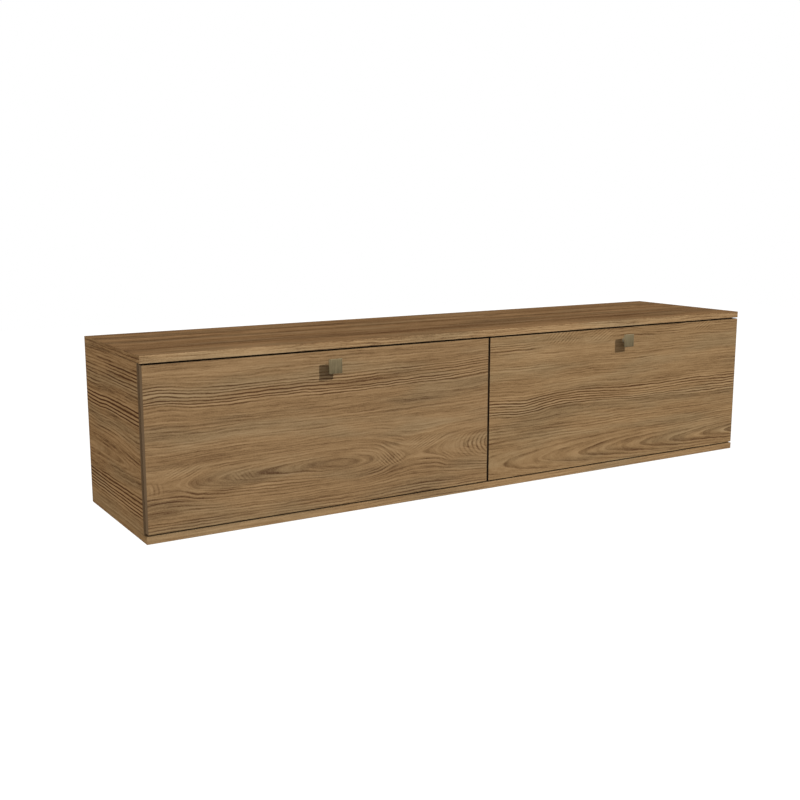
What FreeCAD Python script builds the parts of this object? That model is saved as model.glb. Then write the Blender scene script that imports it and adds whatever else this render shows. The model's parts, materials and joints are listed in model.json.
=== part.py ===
import FreeCAD, Part
import math
import os

# Wall-hung cabinet, one long box with two drop-down doors, in millimetres.
# X runs along the width, Y towards the wall and Z up.
# The origin is the centre of the rear face, which lies against the wall.

# Cabinet
width = 1580.0
depth = 358.0
height = 360.0
board = 15.0
edge_round = 0.6
overrun = 2.0
running_clearance = 0.05

# Doors, which stand between the top and bottom boards and in front of the sides
door_thickness = 15.0
door_gap = 3.0
centre_gap = 3.3
left_reveal = 3.5
right_reveal = 0.3
door_back_gap = 2.5
flap_swing = 90.0

# Hardboard back, set in a rebate and nailed
hardboard = 3.0
rebate = 8.0
back_clearance = 0.5
nail_radius = 0.8
nail_head_radius = 2.0
nail_head_thickness = 0.6
nail_length = 18.0
nails_per_long_edge = 9
nails_per_upright = 2
upright_nail_pitch = 120.0

# Fixing rails, with the holes for the wall screws
rail_thickness = 15.0
rail_height = 70.0
wall_hole_radius = 3.5
wall_hole_span = 500.0

# Cam locks, cam bolts and dowels
cam_radius = 7.5
cam_depth = 12.5
cam_setback = 24.0
cam_inset = 50.0
cam_bolt_radius = 3.0
cam_bolt_seat = 10.5
dowel_radius = 4.0
dowel_seat = 10.0
dowel_reach = 20.0
dowel_pitch = 32.0
rail_dowel_seat = 7.0
rail_dowel_spread = 40.0

# Screws
screw_radius = 1.75
screw_head_radius = 3.5
screw_length = 13.0
screw_point = 3.0
screw_tip_radius = 0.4
stay_screw_length = 8.5
recess_width = 0.9
recess_length = 3.6
recess_depth = 1.0

# Flap hinges, whose barrel lies in a notch at the foot of the door
hinge_width = 50.0
hinge_inset = 110.0
hinge_sheet = 2.0
hinge_pin_radius = 1.5
barrel_radius = 2.5
pin_behind_front = 6.0
pin_above_edge = 6.0
outer_knuckle = 14.0
knuckle_gap = 0.3
notch_clearance = 0.8
notch_side_clearance = 1.0
web_behind_front = 15.5
hinge_base_length = 38.0
hinge_leaf_height = 36.0
hinge_screw_pitch = 28.0

# Slotted stays: door pivot and stud lie at one distance from the hinge pin
stay_radius = 150.0
stud_angle = 45.0
ear_reach = 12.0
ear_radius = 8.0
ear_sheet = 2.0
ear_offset = 3.0
ear_foot_width = 26.0
ear_foot_height = 34.0
ear_screw_pitch = 20.0
arm_sheet = 2.0
arm_half_width = 7.5
stay_play = 0.3
slot_clearance = 0.1
slot_end_play = 0.3
stud_radius = 3.0
stud_head_radius = 6.0
stud_head_thickness = 2.0
stay_plate_sheet = 2.0
stay_plate_length = 44.0
stay_plate_height = 20.0
stay_screw_pitch = 30.0
rivet_radius = 2.5
rivet_head_radius = 4.5
rivet_head_thickness = 1.0

# Magnetic catches
catch_length = 46.0
catch_body_length = 24.0
catch_depth = 16.0
catch_height = 12.0
catch_flange = 3.0
catch_screw_pitch = 35.0
magnet_length = 18.0
magnet_height = 7.0
magnet_depth = 9.0
magnet_stand = 0.5
catch_gap = 0.3
strike_length = 42.0
strike_height = 10.0
strike_sheet = 2.0
strike_screw_pitch = 30.0
strike_below_edge = 0.8

# Door bumpers
bumper_radius = 3.5
bumper_gap = 0.3
bumper_inset = 4.2
bumper_below_edge = 30.0

# Knobs: a square plate that stands off the door on a round stem
knob_size = 30.0
knob_thickness = 3.0
knob_round = 0.4
knob_stand_off = 14.0
knob_below_edge = 15.0
left_knob_shift = 1.2
right_knob_shift = 4.2
stem_radius = 5.5
knob_screw_radius = 2.0
knob_screw_thread = 8.0
knob_screw_clearance = 0.25
knob_screw_head_radius = 4.0
knob_screw_head_thickness = 2.5

# Places that follow from the sizes
left_x = -width / 2
right_x = width / 2
bottom_z = -height / 2
top_z = height / 2
floor_z = bottom_z + board
ceiling_z = top_z - board
front_y = -depth
door_back_y = front_y + door_thickness
upright_front_y = door_back_y + door_back_gap
rail_front_y = -hardboard - rail_thickness
door_low_z = floor_z + door_gap
door_high_z = ceiling_z - door_gap
door_width = (width - left_reveal - right_reveal - centre_gap) / 2
pin_y = front_y + pin_behind_front
pin_z = door_low_z + pin_above_edge
web_y = front_y + web_behind_front
pivot_y = door_back_y + ear_reach
pivot_z = pin_z + math.sqrt(stay_radius**2 - (pivot_y - pin_y)**2)
stud_y = pin_y + stay_radius * math.cos(math.radians(stud_angle))
stud_z = pin_z + stay_radius * math.sin(math.radians(stud_angle))
arm_offset = ear_offset + ear_sheet + stay_play
stay_head_offset = arm_offset + arm_sheet + stay_play
knob_z = door_high_z - knob_below_edge - knob_size / 2

# Left and right limits of each door and of the bay behind it
left_door_x = (left_x + left_reveal, left_x + left_reveal + door_width)
right_door_x = (right_x - right_reveal - door_width, right_x - right_reveal)
left_bay_x = (left_x + board, -board / 2)
right_bay_x = (board / 2, right_x - board)

# Place of each knob along its door, near the door's middle
left_knob_x = sum(left_door_x) / 2 + left_knob_shift
right_knob_x = sum(right_door_x) / 2 + right_knob_shift

along_x = FreeCAD.Vector(1, 0, 0)
along_y = FreeCAD.Vector(0, 1, 0)
along_z = FreeCAD.Vector(0, 0, 1)


def block(x_ends, y_ends, z_ends):
    """Rectangular solid between two places on each axis, given in either order."""
    spans = [sorted(ends) for ends in (x_ends, y_ends, z_ends)]
    sizes = [high - low for low, high in spans]
    corner = FreeCAD.Vector(*[low for low, high in spans])
    return Part.makeBox(*sizes, corner)


def rod(start, end, radius):
    """Round bar between two points."""
    run = end - start
    return Part.makeCylinder(radius, run.Length, start, run)


def rod_x(x_ends, y, z, radius):
    """Round bar along X."""
    return rod(FreeCAD.Vector(x_ends[0], y, z), FreeCAD.Vector(x_ends[1], y, z), radius)


def rod_y(x, y_ends, z, radius):
    """Round bar along Y."""
    return rod(FreeCAD.Vector(x, y_ends[0], z), FreeCAD.Vector(x, y_ends[1], z), radius)


def rod_z(x, y, z_ends, radius):
    """Round bar along Z."""
    return rod(FreeCAD.Vector(x, y, z_ends[0]), FreeCAD.Vector(x, y, z_ends[1]), radius)


def placed(shape, seat, direction):
    """Copy of a shape drawn along +Z from zero, set at seat and pointing along direction."""
    copy = shape.copy()
    copy.Placement = FreeCAD.Placement(seat, FreeCAD.Rotation(along_z, direction))
    return copy


def bar_in_side_view(start, end, radius, x_ends):
    """Flat bar with round ends between two (y, z) points, extruded along X."""
    first = FreeCAD.Vector(min(x_ends), *start)
    last = FreeCAD.Vector(min(x_ends), *end)
    run = (last - first).normalize()
    across = along_x.cross(run) * radius
    along = run * radius
    outline = [
        Part.LineSegment(first + across, last + across),
        Part.Arc(last + across, last + along, last - across),
        Part.LineSegment(last - across, first - across),
        Part.Arc(first - across, first - along, first + across),
    ]
    face = Part.Face(Part.Wire([curve.toShape() for curve in outline]))
    return face.extrude(along_x * (max(x_ends) - min(x_ends)))


def bored(piece, fillers):
    """Piece with a seat cut in it for every filler that reaches into it."""
    reaching = [filler for filler in fillers if piece.BoundBox.intersect(filler.BoundBox)]
    return piece.cut(reaching) if reaching else piece


def softened(piece, chosen):
    """Piece with the chosen edges rounded."""
    edges = [edge for edge in piece.Edges if chosen(edge.CenterOfMass)]
    return piece.makeFillet(edge_round, edges)


def cross_recess():
    """Cross for a screwdriver, drawn down from zero along +Z."""
    depth_ends = (-overrun, recess_depth)
    first = block((-recess_length / 2, recess_length / 2), (-recess_width / 2, recess_width / 2), depth_ends)
    second = block((-recess_width / 2, recess_width / 2), (-recess_length / 2, recess_length / 2), depth_ends)
    return first.fuse(second)


def screw_hole(length):
    """Outside shape of a countersunk screw, which is also its hole."""
    head_depth = screw_head_radius - screw_radius
    head = Part.makeCone(screw_head_radius, screw_radius, head_depth)
    shank_end = length - screw_point
    shank = rod_z(0, 0, (head_depth, shank_end), screw_radius)
    point = Part.makeCone(screw_radius, screw_tip_radius, screw_point, along_z * shank_end)
    return head.fuse([shank, point]).removeSplitter()


def screws_at(seats, length):
    """Countersunk screws, and their holes, at a list of (seat, direction)."""
    hole = screw_hole(length)
    screw = hole.cut(cross_recess())
    screws = [placed(screw, seat, direction) for seat, direction in seats]
    holes = [placed(hole, seat, direction) for seat, direction in seats]
    return screws, holes


def uprights():
    """X limits of the left side, the divider and the right side, and the way their inner face looks."""
    return [
        ((left_x, left_x + board), 1),
        ((-board / 2, board / 2), 1),
        ((right_x - board, right_x), -1),
    ]


def joint_rows():
    """Middle X, inner face X, inner direction, joint face Z and direction into the upright."""
    rows = []
    for ends, inward in uprights():
        face_x = max(ends) if inward > 0 else min(ends)
        rows.append((sum(ends) / 2, face_x, inward, ceiling_z, -1))
        rows.append((sum(ends) / 2, face_x, inward, floor_z, 1))
    return rows


def joint_places_y():
    """Front and rear place of the cam locks, each with the way to the dowel beside it."""
    return [(upright_front_y + cam_inset, 1), (-hardboard - cam_inset, -1)]


def cam_bolts():
    """Bolts that stand in the top and bottom boards and reach the cams."""
    bolts = []
    for middle_x, face_x, inward, joint_z, into in joint_rows():
        for y, towards_middle in joint_places_y():
            ends = (joint_z - into * cam_bolt_seat, joint_z + into * cam_setback)
            bolts.append(rod_z(middle_x, y, ends, cam_bolt_radius))
    return bolts


def cam_blanks():
    """Outside shape of the cams, sunk in the inner faces of the uprights."""
    blanks = []
    for middle_x, face_x, inward, joint_z, into in joint_rows():
        for y, towards_middle in joint_places_y():
            x_ends = (face_x, face_x - inward * cam_depth)
            blanks.append(rod_x(x_ends, y, joint_z + into * cam_setback, cam_radius))
    return blanks


def cam_locks(bolts):
    """Cams with a screwdriver cross and the bore that takes the bolt."""
    cams = []
    blanks = iter(cam_blanks())
    for middle_x, face_x, inward, joint_z, into in joint_rows():
        for y, towards_middle in joint_places_y():
            seat = FreeCAD.Vector(face_x, y, joint_z + into * cam_setback)
            recess = placed(cross_recess(), seat, along_x * -inward)
            cams.append(bored(next(blanks).cut(recess), bolts))
    return cams


def wood_dowels():
    """Dowels beside the cam locks and at the ends of the fixing rails."""
    dowels = []
    for middle_x, face_x, inward, joint_z, into in joint_rows():
        for y, towards_middle in joint_places_y():
            ends = (joint_z - into * dowel_seat, joint_z + into * dowel_reach)
            dowels.append(rod_z(middle_x, y + towards_middle * dowel_pitch, ends, dowel_radius))
    for bay_x in (left_bay_x, right_bay_x):
        for face_x, inward in ((bay_x[0], 1), (bay_x[1], -1)):
            for rail_z in rail_middles():
                for side in (-1, 1):
                    x_ends = (face_x - inward * rail_dowel_seat, face_x + inward * dowel_reach)
                    z = rail_z + side * rail_dowel_spread / 2
                    dowels.append(rod_x(x_ends, -hardboard - rail_thickness / 2, z, dowel_radius))
    return dowels


def rail_middles():
    """Heights of the middle of the lower and upper fixing rails."""
    return (floor_z + rail_height / 2, ceiling_z - rail_height / 2)


def back_nails():
    """Nails round the hardboard back and along the divider, heads flush."""
    long_reach = (width - board) / 2
    edge_z = (height - board) / 2 - (board - rebate) / 2
    edge_x = left_x + board - rebate / 2
    pitch = 2 * long_reach / (nails_per_long_edge + 1)
    places = []
    for count in range(nails_per_long_edge):
        x = -long_reach + pitch * (count + 1)
        places += [(x, edge_z), (x, -edge_z)]
    for count in range(nails_per_upright):
        z = (count - (nails_per_upright - 1) / 2) * upright_nail_pitch
        places += [(x, z) for x in (edge_x, 0, -edge_x)]
    nails = []
    for x, z in places:
        shank = rod_y(x, (0, -nail_length), z, nail_radius)
        head = rod_y(x, (0, -nail_head_thickness), z, nail_head_radius)
        nails.append(shank.fuse(head).removeSplitter())
    return nails


def wall_holes():
    """Holes for the wall screws, through the rails and the back."""
    holes = []
    for bay_x in (left_bay_x, right_bay_x):
        for side in (-1, 1):
            x = sum(bay_x) / 2 + side * wall_hole_span / 2
            for z in rail_middles():
                holes.append(rod_y(x, (rail_front_y - overrun, overrun), z, wall_hole_radius))
    return holes


def top_panel(fillers):
    """Top board, full width and depth, rebated for the back."""
    panel = block((left_x, right_x), (front_y, 0), (ceiling_z, top_z))
    panel = softened(panel, lambda place: place.z == top_z)
    return bored(panel.cut(long_rebate(1)), fillers)


def bottom_panel(fillers):
    """Bottom board, full width and depth, rebated for the back."""
    panel = block((left_x, right_x), (front_y, 0), (bottom_z, floor_z))
    panel = softened(panel, lambda place: place.z == bottom_z)
    return bored(panel.cut(long_rebate(-1)), fillers)


def long_rebate(side):
    """Room for the hardboard in the top board, side 1, or the bottom board, side -1."""
    reach = width / 2 - board + rebate
    z_ends = (side * (ceiling_z - overrun), side * (ceiling_z + rebate))
    return block((-reach, reach), (-hardboard, overrun), z_ends)


def side_panel(side, fillers):
    """End board between top and bottom, side -1 on the left and 1 on the right."""
    inner_x = side * (width / 2 - board)
    panel = block((inner_x, side * width / 2), (upright_front_y, 0), (floor_z, ceiling_z))
    room = block(
        (inner_x - side * overrun, inner_x + side * rebate),
        (-hardboard, overrun),
        (floor_z - overrun, ceiling_z + overrun),
    )
    return bored(panel.cut(room), fillers)


def divider_panel(fillers):
    """Upright between the two bays."""
    panel = block((-board / 2, board / 2), (upright_front_y, -hardboard), (floor_z, ceiling_z))
    return bored(panel, fillers)


def back_panel(fillers):
    """Hardboard back in its rebate, flush with the rear edges."""
    reach_x = width / 2 - board + rebate - back_clearance
    reach_z = height / 2 - board + rebate - back_clearance
    panel = block((-reach_x, reach_x), (-hardboard, 0), (-reach_z, reach_z))
    return bored(panel, fillers)


def fixing_rail(bay_x, middle_z, fillers):
    """Board that carries the cabinet on the wall screws."""
    z_ends = (middle_z - rail_height / 2, middle_z + rail_height / 2)
    return bored(block(bay_x, (rail_front_y, -hardboard), z_ends), fillers)


def hinge_places(door_x):
    """Middle of each hinge of a door."""
    return (door_x[0] + hinge_inset, door_x[1] - hinge_inset)


def knuckle_ends(middle_x):
    """X limits of the left, middle and right knuckles of a hinge."""
    low = middle_x - hinge_width / 2
    high = middle_x + hinge_width / 2
    inner = outer_knuckle + knuckle_gap
    return (low, low + outer_knuckle), (low + inner, high - inner), (high - outer_knuckle, high)


def knuckle(x_ends, reach_y):
    """Barrel with a flat tongue that runs back from it."""
    barrel = rod_x(x_ends, pin_y, pin_z, barrel_radius)
    tongue = block(x_ends, (pin_y, reach_y), (pin_z - hinge_sheet / 2, pin_z + hinge_sheet / 2))
    return barrel.fuse(tongue)


def hinge_base(middle_x, fillers):
    """Fixed half of a hinge: two knuckles, two webs and a plate on the bottom board."""
    left, middle, right = knuckle_ends(middle_x)
    x_ends = (left[0], right[1])
    plate = block(x_ends, (web_y, web_y + hinge_base_length), (floor_z, floor_z + hinge_sheet))
    pieces = [knuckle(ends, web_y + hinge_sheet) for ends in (left, right)]
    for ends in (left, right):
        pieces.append(block(ends, (web_y, web_y + hinge_sheet), (floor_z, pin_z + hinge_sheet / 2)))
    bore = rod_x((x_ends[0] - overrun, x_ends[1] + overrun), pin_y, pin_z, hinge_pin_radius)
    return bored(plate.fuse(pieces).cut(bore).removeSplitter(), fillers)


def hinge_leaf(middle_x, fillers):
    """Moving half of a hinge: one knuckle and a plate on the back of the door."""
    left, middle, right = knuckle_ends(middle_x)
    y_ends = (door_back_y, door_back_y + hinge_sheet)
    plate_low_z = pin_z + barrel_radius + notch_clearance
    plate_high_z = plate_low_z + hinge_leaf_height
    plate = block((left[0], right[1]), y_ends, (plate_low_z, plate_high_z))
    riser = block(middle, y_ends, (pin_z - hinge_sheet / 2, plate_high_z))
    tongue = knuckle(middle, door_back_y + hinge_sheet)
    bore_radius = hinge_pin_radius + running_clearance
    bore = rod_x((middle[0] - overrun, middle[1] + overrun), pin_y, pin_z, bore_radius)
    return bored(plate.fuse([riser, tongue]).cut(bore).removeSplitter(), fillers)


def hinge_pin(middle_x):
    """Pin held in the outer knuckles."""
    left, middle, right = knuckle_ends(middle_x)
    return rod_x((left[0], right[1]), pin_y, pin_z, hinge_pin_radius)


def hinge_notch(middle_x):
    """Room for the barrel at the foot of the door, open to the back and below."""
    reach = hinge_width / 2 + notch_side_clearance
    y_ends = (pin_y - barrel_radius - notch_clearance, door_back_y + overrun)
    z_ends = (door_low_z - overrun, pin_z + barrel_radius + notch_clearance)
    return block((middle_x - reach, middle_x + reach), y_ends, z_ends)


def stay_x(wall_x, inward, near, far):
    """X limits of a stay piece, from its distances to the upright."""
    return (wall_x + inward * near, wall_x + inward * far)


def slot_ends():
    """Distances from the door pivot to the stud, with the door closed and fully open."""
    closed = math.hypot(stud_y - pivot_y, stud_z - pivot_z)
    closed_angle = 2 * math.asin(closed / (2 * stay_radius))
    opened = 2 * stay_radius * math.sin((closed_angle + math.radians(flap_swing)) / 2)
    return closed, opened


def along_arm(distance):
    """Point (y, z) at a distance from the door pivot, on the line through the stud."""
    closed = slot_ends()[0]
    share = distance / closed
    return (pivot_y + (stud_y - pivot_y) * share, pivot_z + (stud_z - pivot_z) * share)


def stay_arm(wall_x, inward):
    """Slotted arm from the door pivot past the stud."""
    closed, opened = slot_ends()
    x_ends = stay_x(wall_x, inward, arm_offset, arm_offset + arm_sheet)
    cut_ends = stay_x(wall_x, inward, arm_offset - overrun, arm_offset + arm_sheet + overrun)
    arm = bar_in_side_view((pivot_y, pivot_z), along_arm(opened), arm_half_width, x_ends)
    slot_start = along_arm(closed - slot_end_play)
    slot_end = along_arm(opened + slot_end_play)
    slot = bar_in_side_view(slot_start, slot_end, stud_radius + slot_clearance, cut_ends)
    bore = rod_x(cut_ends, pivot_y, pivot_z, rivet_radius + running_clearance)
    return arm.cut([slot, bore])


def stay_ear(wall_x, inward, fillers):
    """Angle bracket on the back of the door that carries the arm."""
    ear_x = stay_x(wall_x, inward, ear_offset, ear_offset + ear_sheet)
    foot_x = stay_x(wall_x, inward, ear_offset, ear_offset + ear_foot_width)
    foot_z = (pivot_z - ear_foot_height / 2, pivot_z + ear_foot_height / 2)
    foot = block(foot_x, (door_back_y, door_back_y + ear_sheet), foot_z)
    ear = block(ear_x, (door_back_y, pivot_y), (pivot_z - ear_radius, pivot_z + ear_radius))
    end = rod_x(ear_x, pivot_y, pivot_z, ear_radius)
    bore = rod_x(stay_x(wall_x, inward, 0, stay_head_offset), pivot_y, pivot_z, rivet_radius)
    return bored(foot.fuse([ear, end]).cut(bore).removeSplitter(), fillers)


def stay_rivet(wall_x, inward):
    """Rivet that joins the arm to its ear."""
    outer = stay_x(wall_x, inward, ear_offset - rivet_head_thickness, ear_offset)
    shank = stay_x(wall_x, inward, ear_offset, stay_head_offset)
    inner = stay_x(wall_x, inward, stay_head_offset, stay_head_offset + rivet_head_thickness)
    heads = [rod_x(ends, pivot_y, pivot_z, rivet_head_radius) for ends in (outer, inner)]
    return rod_x(shank, pivot_y, pivot_z, rivet_radius).fuse(heads)


def stay_plate(wall_x, inward, fillers):
    """Plate on the upright that carries the stud."""
    y_ends = (stud_y - stay_plate_length / 2, stud_y + stay_plate_length / 2)
    z_ends = (stud_z - stay_plate_height / 2, stud_z + stay_plate_height / 2)
    plate = block(stay_x(wall_x, inward, 0, stay_plate_sheet), y_ends, z_ends)
    bore = rod_x(stay_x(wall_x, inward, 0, stay_plate_sheet), stud_y, stud_z, stud_radius)
    return bored(plate.cut(bore), fillers)


def stay_stud(wall_x, inward):
    """Headed stud that runs in the slot of the arm."""
    shank = rod_x(stay_x(wall_x, inward, 0, stay_head_offset), stud_y, stud_z, stud_radius)
    head_ends = stay_x(wall_x, inward, stay_head_offset, stay_head_offset + stud_head_thickness)
    return shank.fuse(rod_x(head_ends, stud_y, stud_z, stud_head_radius))


def catch_front_y():
    """Plane of the catch's magnet, clear of the strike plate on the door."""
    return door_back_y + strike_sheet + catch_gap


def catch_body(middle_x, fillers):
    """Moulded holder under the top board with a screw flange at each end."""
    y_ends = (catch_front_y() + magnet_stand, catch_front_y() + magnet_stand + catch_depth)
    long_x = (middle_x - catch_length / 2, middle_x + catch_length / 2)
    body_x = (middle_x - catch_body_length / 2, middle_x + catch_body_length / 2)
    flange = block(long_x, y_ends, (ceiling_z - catch_flange, ceiling_z))
    body = block(body_x, y_ends, (ceiling_z - catch_height, ceiling_z))
    return bored(flange.fuse(body).cut(catch_magnet(middle_x)).removeSplitter(), fillers)


def catch_magnet(middle_x):
    """Magnet with its face standing a little out of the holder."""
    middle_z = ceiling_z - catch_height / 2
    x_ends = (middle_x - magnet_length / 2, middle_x + magnet_length / 2)
    y_ends = (catch_front_y(), catch_front_y() + magnet_depth)
    return block(x_ends, y_ends, (middle_z - magnet_height / 2, middle_z + magnet_height / 2))


def strike_plate(middle_x, fillers):
    """Steel plate on the back of the door, opposite the magnet."""
    high_z = door_high_z - strike_below_edge
    x_ends = (middle_x - strike_length / 2, middle_x + strike_length / 2)
    plate = block(x_ends, (door_back_y, door_back_y + strike_sheet), (high_z - strike_height, high_z))
    return bored(plate, fillers)


def door_bumpers(door_x):
    """Soft pads on the back of the door, in front of the uprights."""
    y_ends = (door_back_y, upright_front_y - bumper_gap)
    z = door_high_z - bumper_below_edge
    places = (door_x[0] + bumper_inset, door_x[1] - bumper_inset)
    return [rod_y(x, y_ends, z, bumper_radius) for x in places]


def knob_plate(x):
    """Square plate with softly rounded edges."""
    back_y = front_y - knob_stand_off
    plate = block(
        (x - knob_size / 2, x + knob_size / 2),
        (back_y - knob_thickness, back_y),
        (knob_z - knob_size / 2, knob_z + knob_size / 2),
    )
    return plate.makeFillet(knob_round, plate.Edges)


def knob_stem(x):
    """Round stem between door and plate, bored for the screw."""
    stem = rod_y(x, (front_y, front_y - knob_stand_off), knob_z, stem_radius)
    thread = rod_y(x, (front_y + overrun, front_y - knob_screw_thread), knob_z, knob_screw_radius)
    return stem.cut(thread)


def knob_screw(x):
    """Pan-headed screw through the door into the stem."""
    head_y = door_back_y + knob_screw_head_thickness
    shank = rod_y(x, (door_back_y, front_y - knob_screw_thread), knob_z, knob_screw_radius)
    head = rod_y(x, (door_back_y, head_y), knob_z, knob_screw_head_radius)
    recess = placed(cross_recess(), FreeCAD.Vector(x, head_y, knob_z), -along_y)
    return shank.fuse(head).cut(recess)


def door(door_x, knob_x, fillers):
    """Door board with notches for its hinges and holes for its fittings."""
    panel = block(door_x, (front_y, door_back_y), (door_low_z, door_high_z))
    panel = softened(panel, lambda place: place.y < door_back_y)
    cuts = [hinge_notch(x) for x in hinge_places(door_x)]
    hole_radius = knob_screw_radius + knob_screw_clearance
    cuts.append(rod_y(knob_x, (front_y - overrun, door_back_y + overrun), knob_z, hole_radius))
    return bored(panel.cut(cuts), fillers)


def stays_of(bay_x):
    """Upright face and inward direction of the stays at both ends of a bay."""
    return {"left_end": (bay_x[0], 1), "right_end": (bay_x[1], -1)}


def floor_screw_seats():
    """Screws of the hinge plates into the bottom board and of the catches into the top board."""
    seats = []
    for door_x in (left_door_x, right_door_x):
        for x in hinge_places(door_x):
            for side in (-1, 1):
                y = web_y + (hinge_base_length + hinge_sheet) / 2
                place = FreeCAD.Vector(x + side * hinge_screw_pitch / 2, y, floor_z + hinge_sheet)
                seats.append((place, -along_z))
        for side in (-1, 1):
            x = sum(door_x) / 2 + side * catch_screw_pitch / 2
            y = catch_front_y() + magnet_stand + catch_depth / 2
            seats.append((FreeCAD.Vector(x, y, ceiling_z - catch_flange), along_z))
    return seats


def stay_screw_seats():
    """Screws of the stay plates into the uprights."""
    seats = []
    for bay_x in (left_bay_x, right_bay_x):
        for wall_x, inward in stays_of(bay_x).values():
            for side in (-1, 1):
                x = wall_x + inward * stay_plate_sheet
                place = FreeCAD.Vector(x, stud_y + side * stay_screw_pitch / 2, stud_z)
                seats.append((place, along_x * -inward))
    return seats


def door_screw_seats(door_x, bay_x):
    """Screws of the leaves, ears and strike plate into the back of a door."""
    seats = []
    leaf_z = pin_z + barrel_radius + notch_clearance + hinge_leaf_height / 2
    for x in hinge_places(door_x):
        for side in (-1, 1):
            place_x = x + side * hinge_screw_pitch / 2
            seats.append((FreeCAD.Vector(place_x, door_back_y + hinge_sheet, leaf_z), -along_y))
    for wall_x, inward in stays_of(bay_x).values():
        foot_ends = stay_x(wall_x, inward, arm_offset + arm_sheet, ear_offset + ear_foot_width)
        for side in (-1, 1):
            z = pivot_z + side * ear_screw_pitch / 2
            seats.append((FreeCAD.Vector(sum(foot_ends) / 2, door_back_y + ear_sheet, z), -along_y))
    strike_z = door_high_z - strike_below_edge - strike_height / 2
    for side in (-1, 1):
        x = sum(door_x) / 2 + side * strike_screw_pitch / 2
        seats.append((FreeCAD.Vector(x, door_back_y + strike_sheet, strike_z), -along_y))
    return seats


def carcass_nodes():
    """Boards, rails, back and the fittings that stay on them."""
    bolts = cam_bolts()
    dowels = wood_dowels()
    nails = back_nails()
    floor_screws, floor_holes = screws_at(floor_screw_seats(), screw_length)
    stay_screws, stay_holes = screws_at(stay_screw_seats(), stay_screw_length)
    fillers = bolts + cam_blanks() + dowels + nails + floor_holes + stay_holes
    open_holes = wall_holes()
    nodes = {
        "top_panel": top_panel(fillers),
        "bottom_panel": bottom_panel(fillers),
        "left_side_panel": side_panel(-1, fillers),
        "right_side_panel": side_panel(1, fillers),
        "divider_panel": divider_panel(fillers),
        "back_panel": back_panel(nails + open_holes),
        "cam_bolts": Part.makeCompound(bolts),
        "cam_locks": Part.makeCompound(cam_locks(bolts)),
        "wood_dowels": Part.makeCompound(dowels),
        "back_nails": Part.makeCompound(nails),
        "carcass_screws": Part.makeCompound(floor_screws),
        "stay_screws": Part.makeCompound(stay_screws),
    }
    for bay, bay_x in (("left", left_bay_x), ("right", right_bay_x)):
        for level, middle_z in zip(("lower", "upper"), rail_middles()):
            nodes[f"{bay}_{level}_rail"] = fixing_rail(bay_x, middle_z, dowels + open_holes)
    pins = []
    for name, door_x in (("left", left_door_x), ("right", right_door_x)):
        for end, x in zip(("left_end", "right_end"), hinge_places(door_x)):
            nodes[f"{name}_door_{end}_hinge_base"] = hinge_base(x, floor_holes)
            pins.append(hinge_pin(x))
        middle_x = sum(door_x) / 2
        nodes[f"{name}_catch_holder"] = catch_body(middle_x, floor_holes)
        nodes[f"{name}_catch_magnet"] = catch_magnet(middle_x)
    nodes["hinge_pins"] = Part.makeCompound(pins)
    studs = []
    for name, bay_x in (("left", left_bay_x), ("right", right_bay_x)):
        for end, (wall_x, inward) in stays_of(bay_x).items():
            nodes[f"{name}_door_{end}_stay_plate"] = stay_plate(wall_x, inward, stay_holes)
            studs.append(stay_stud(wall_x, inward))
    nodes["stay_studs"] = Part.makeCompound(studs)
    return nodes


def door_nodes(name, door_x, knob_x, bay_x):
    """One door with what is fixed to it, and its stay arms."""
    screws, holes = screws_at(door_screw_seats(door_x, bay_x), screw_length)
    nodes = {
        f"{name}_door": door(door_x, knob_x, holes),
        f"{name}_knob_plate": knob_plate(knob_x),
        f"{name}_knob_stem": knob_stem(knob_x),
        f"{name}_knob_screw": knob_screw(knob_x),
        f"{name}_strike_plate": strike_plate(sum(door_x) / 2, holes),
        f"{name}_door_bumpers": Part.makeCompound(door_bumpers(door_x)),
        f"{name}_door_screws": Part.makeCompound(screws),
    }
    for end, x in zip(("left_end", "right_end"), hinge_places(door_x)):
        nodes[f"{name}_door_{end}_hinge_leaf"] = hinge_leaf(x, holes)
    rivets = []
    for end, (wall_x, inward) in stays_of(bay_x).items():
        nodes[f"{name}_door_{end}_stay_ear"] = stay_ear(wall_x, inward, holes)
        nodes[f"{name}_door_{end}_stay_arm"] = stay_arm(wall_x, inward)
        rivets.append(stay_rivet(wall_x, inward))
    nodes[f"{name}_door_stay_rivets"] = Part.makeCompound(rivets)
    return nodes


def main():
    """Build every node and write each one as a STEP file."""
    os.makedirs("parts", exist_ok=True)
    nodes = carcass_nodes()
    nodes.update(door_nodes("left", left_door_x, left_knob_x, left_bay_x))
    nodes.update(door_nodes("right", right_door_x, right_knob_x, right_bay_x))
    for name, shape in nodes.items():
        shape.exportStep(os.path.join("parts", f"{name}.step"))
    return nodes


main()
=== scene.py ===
"""Looks of a wall-hung cabinet with two drop-down doors, modelled around its fixed frame, in metres."""
import json
import math
from typing import NamedTuple

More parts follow.
